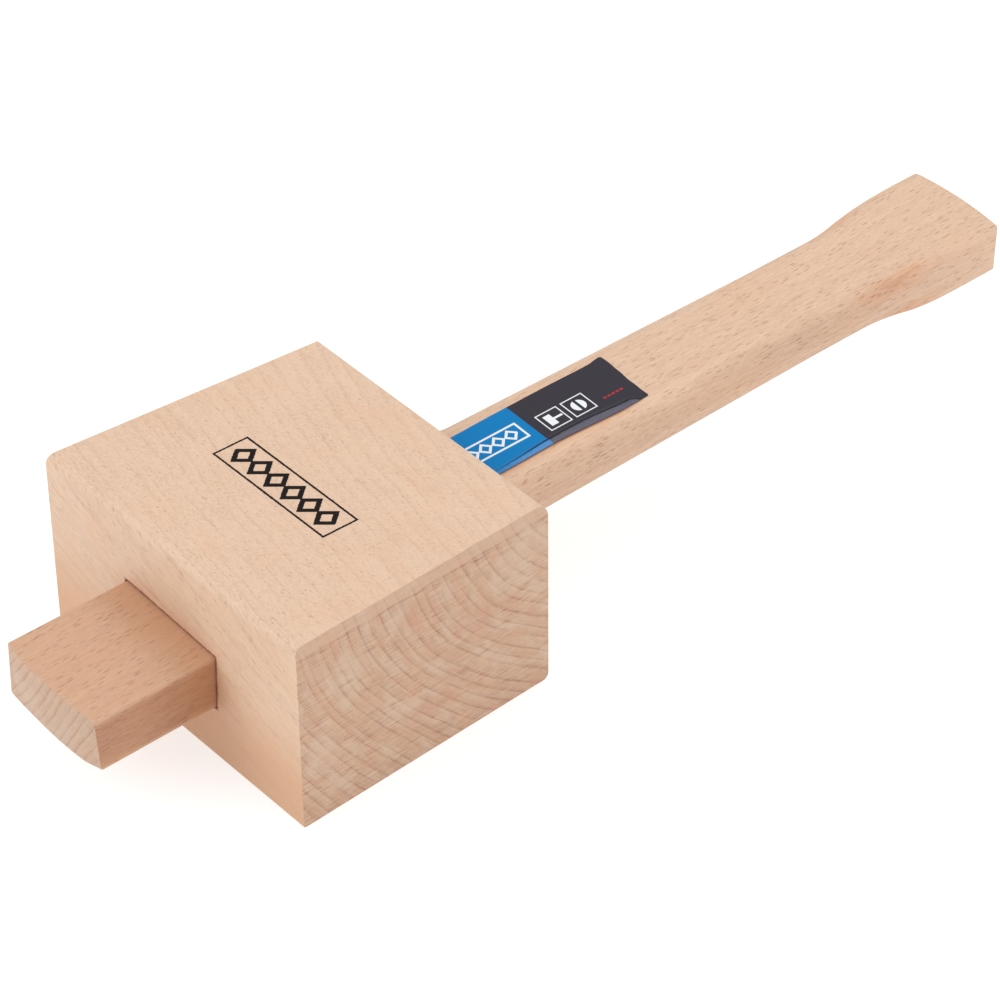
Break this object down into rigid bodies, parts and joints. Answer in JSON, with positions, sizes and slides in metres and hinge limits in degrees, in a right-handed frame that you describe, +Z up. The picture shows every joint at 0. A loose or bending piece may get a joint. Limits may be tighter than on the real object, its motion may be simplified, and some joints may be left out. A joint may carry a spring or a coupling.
{
  "type": "joiner's mallet",
  "caption": "Square-headed wooden mallet: a solid beech head with a tapered through handle that stands out past the head and widens to a square-edged grip.",
  "frame": {"origin": "centre of the cheek that the mallet lies on, at the head's middle along X and Y", "axes": "+Z up out of the lower cheek, X the striking direction, +Y from the head towards the grip end"},
  "size_m": [0.11, 0.3309, 0.0593],
  "materials": {
    "head_wood": "planed beech, unvarnished, matt",
    "handle_wood": "sanded beech, unvarnished, matt to faint satin",
    "label_film": "printed self-adhesive film, semi-gloss"
  },
  "bodies": {
    "head": {"head": "head_wood"},
    "handle": {"handle": "handle_wood", "label": "label_film"}
  },
  "joints": [
    {"name": "handle_slide", "type": "slide", "parent": "head", "child": "handle", "axis": [-0.004, -0.9995, -0.0326], "range_m": [0, 0.3]}
  ]
}
